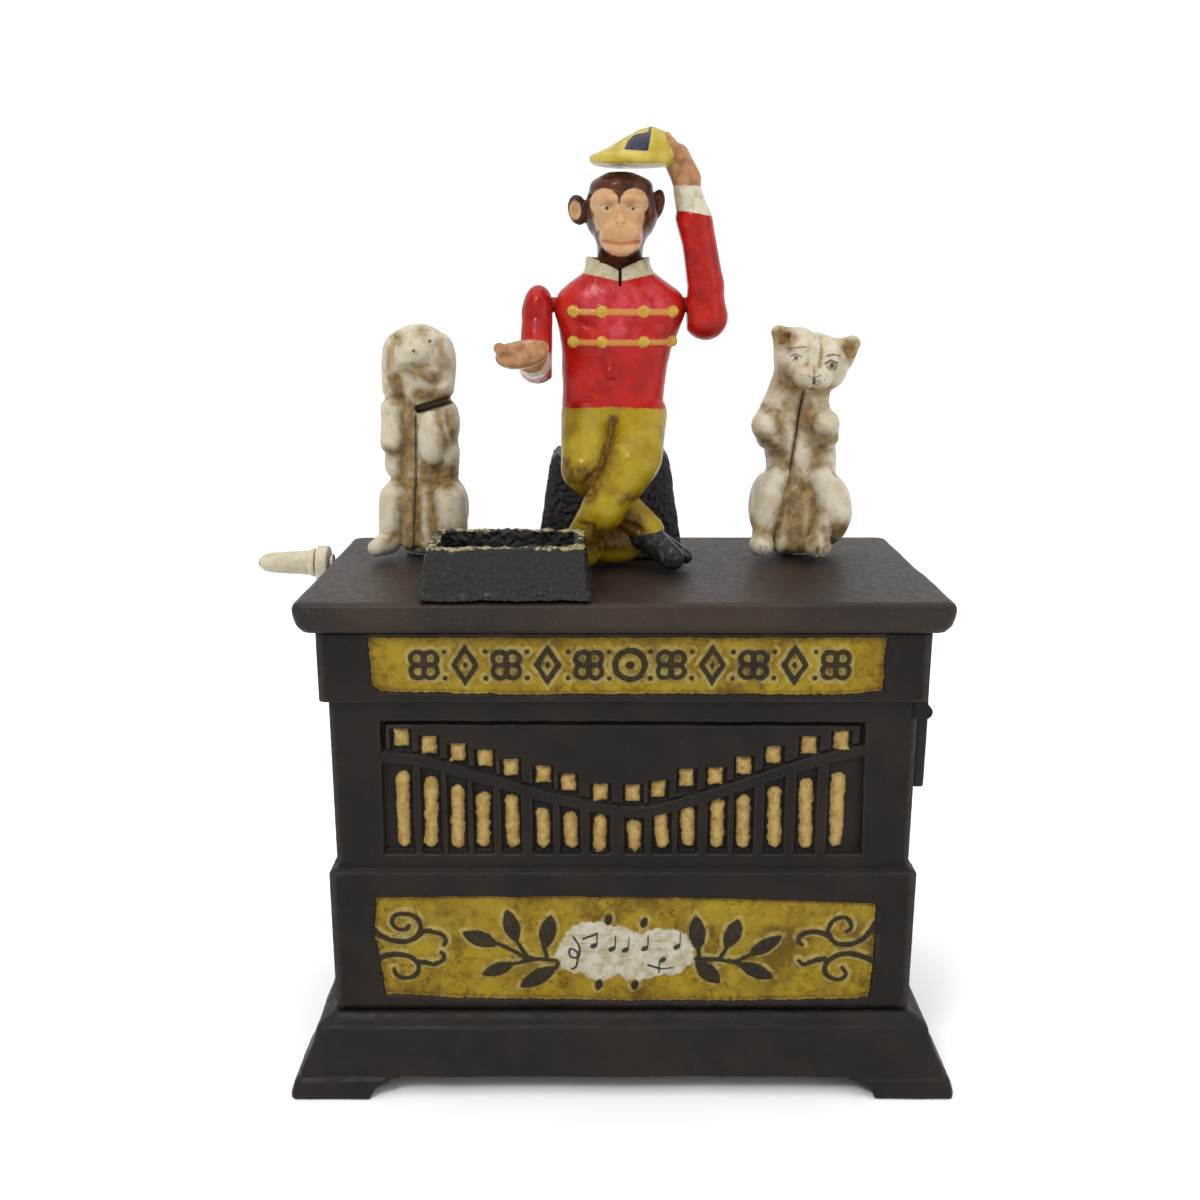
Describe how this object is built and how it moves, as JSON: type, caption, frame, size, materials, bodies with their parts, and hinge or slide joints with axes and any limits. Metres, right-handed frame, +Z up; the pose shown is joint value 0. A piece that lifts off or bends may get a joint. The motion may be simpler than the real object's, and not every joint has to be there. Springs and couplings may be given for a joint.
{
  "type": "mechanical bank",
  "caption": "Cast-iron organ-shaped mechanical coin bank: a crank turns a dog and a cat on spindles, and a seated monkey tips a coin into the hopper as it raises its hat.",
  "frame": {"origin": "centre of the base of the whole object's box, crank included, at the level the feet stand on", "axes": "+Z up, +X to the right when looking at the decorated front, -Y out of the front"},
  "size_m": [0.1515, 0.0766, 0.1952],
  "materials": {
    "black_japan": "brownish-black japanned iron, worn at the edges",
    "crinkle_black": "rough crinkled black over a grainy casting",
    "cream_paint": "off-white paint with brown grime in the hollows",
    "figure_paint": "gloss enamel: red coat, mustard trousers, brown fur",
    "bright_steel": "plain steel, dulled",
    "bare_iron": "as cast, oily",
    "bell_brass": "aged brass"
  },
  "bodies": {
    "root": {"base_plinth": "black_japan", "front_plate": "black_japan", "back_plate": "black_japan", "left_side_plate": "black_japan", "right_side_plate": "black_japan", "top_plate": "black_japan", "tie_bolt_left": "bright_steel", "tie_bolt_right": "bright_steel", "left_shaft_bush": "bell_brass", "right_shaft_bush": "bell_brass", "coin_hopper": "crinkle_black", "hopper_screw_left": "bright_steel", "hopper_screw_right": "bright_steel", "coin_door_pin": "bright_steel", "chime_bell": "bell_brass", "bell_post": "bright_steel", "bell_nut": "bright_steel", "hammer_bracket": "bare_iron", "bracket_rivet": "bright_steel", "hammer_pin": "bright_steel", "hammer_spring": "bright_steel", "spring_rivet": "bright_steel", "seat": "crinkle_black", "seat_screw": "bright_steel", "monkey_front_half": "figure_paint", "monkey_back_half": "figure_paint", "monkey_rivet": "bright_steel"},
    "coin_door": {"coin_door": "black_japan"},
    "striker": {"chime_hammer": "bare_iron"},
    "crank": {"crank_shaft": "bright_steel", "crank_arm": "cream_paint", "knob_pin": "bright_steel", "dog_drive_gear": "bare_iron", "cat_drive_gear": "bare_iron", "shaft_collar": "bright_steel", "arm_cam": "bare_iron", "chime_star_wheel": "bare_iron"},
    "knob": {"crank_knob": "cream_paint"},
    "dog": {"dog_gear": "bare_iron", "dog_spindle": "bright_steel", "dog_right_half": "cream_paint", "dog_left_half": "cream_paint", "dog_rivet": "bright_steel"},
    "cat": {"cat_gear": "bare_iron", "cat_spindle": "bright_steel", "cat_right_half": "cream_paint", "cat_left_half": "cream_paint", "cat_rivet": "bright_steel"},
    "arms": {"shoulder_shaft": "bright_steel", "shoulder_lever": "bright_steel", "coin_hand_arm": "figure_paint", "hat_arm": "figure_paint"},
    "lift_rod": {"push_rod": "bright_steel"}
  },
  "joints": [
    {"name": "crank_turn", "type": "hinge", "parent": "root", "child": "crank", "pos_m": [0.00675, 0.015, 0.086], "axis": [1, 0, 0], "continuous": true},
    {"name": "knob_spin", "type": "hinge", "parent": "crank", "child": "knob", "pos_m": [-0.06825, 0.015, 0.1025], "axis": [1, 0, 0], "continuous": true},
    {"name": "dog_turn", "type": "hinge", "parent": "root", "child": "dog", "pos_m": [-0.03775, 0.015, 0.105], "axis": [0, 0, 1], "continuous": true},
    {"name": "cat_turn", "type": "hinge", "parent": "root", "child": "cat", "pos_m": [0.04725, 0.015, 0.105], "axis": [0, 0, 1], "continuous": true},
    {"name": "arms_swing", "type": "hinge", "parent": "root", "child": "arms", "pos_m": [0.00675, 0.008, 0.16], "axis": [1, 0, 0], "range_deg": [0, 36]},
    {"name": "push_rod_lift", "type": "slide", "parent": "root", "child": "lift_rod", "axis": [0, 0, 1], "range_m": [0, 0.0026]},
    {"name": "coin_door_swing", "type": "hinge", "parent": "root", "child": "coin_door", "pos_m": [0.06695, -0.01, 0.0816], "axis": [0, -1, 0], "range_deg": [0, 80]},
    {"name": "striker_swing", "type": "hinge", "parent": "root", "child": "striker", "pos_m": [0.02675, 0.0215, 0.0802], "axis": [1, 0, 0], "range_deg": [0, 12], "stiffness_Nm_per_rad": 0.01}
  ],
  "couplings": [
    {"joint": "dog_turn", "follows": "crank_turn", "ratio": -1},
    {"joint": "cat_turn", "follows": "crank_turn", "ratio": 1},
    {"joint": "push_rod_lift", "follows": "arms_swing", "m_per_rad": 0.0041}
  ]
}
